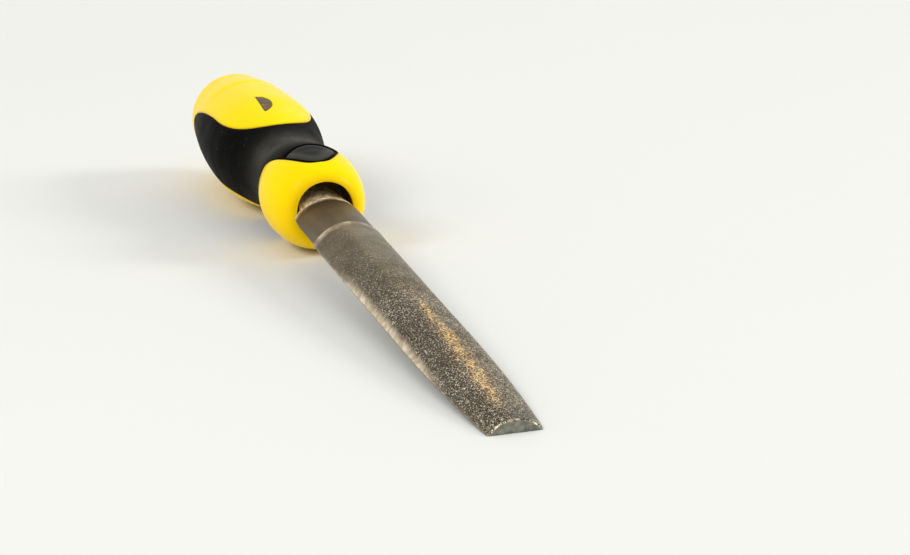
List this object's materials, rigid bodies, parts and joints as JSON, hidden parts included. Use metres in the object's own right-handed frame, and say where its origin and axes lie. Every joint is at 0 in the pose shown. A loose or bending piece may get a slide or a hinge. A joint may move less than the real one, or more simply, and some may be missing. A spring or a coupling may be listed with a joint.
{
  "type": "half-round wood file",
  "caption": "Half-round wood file with a plain heel, a square-cut tip and a palm-filling two-material handle with a thumb rest.",
  "frame": {"origin": "the middle of the cut flat face of the blade", "axes": "+X along the blade towards its tip, +Z out of the convex side, so the flat side faces -Z; Y is across the blade"},
  "size_m": [0.324, 0.0346, 0.0347],
  "materials": {
    "file_steel": "dark hardened steel with a fine cut",
    "yellow_plastic": "semi-gloss moulded",
    "grip_rubber": "satin soft grip",
    "thumb_rubber": "smooth, slightly glossy",
    "mark_ink": "dark matt inlay"
  },
  "bodies": {
    "root": {"file_blade": "file_steel", "handle_core": "yellow_plastic", "grip_overmould": "grip_rubber", "thumb_pad": "thumb_rubber", "profile_mark": "mark_ink"}
  },
  "joints": []
}
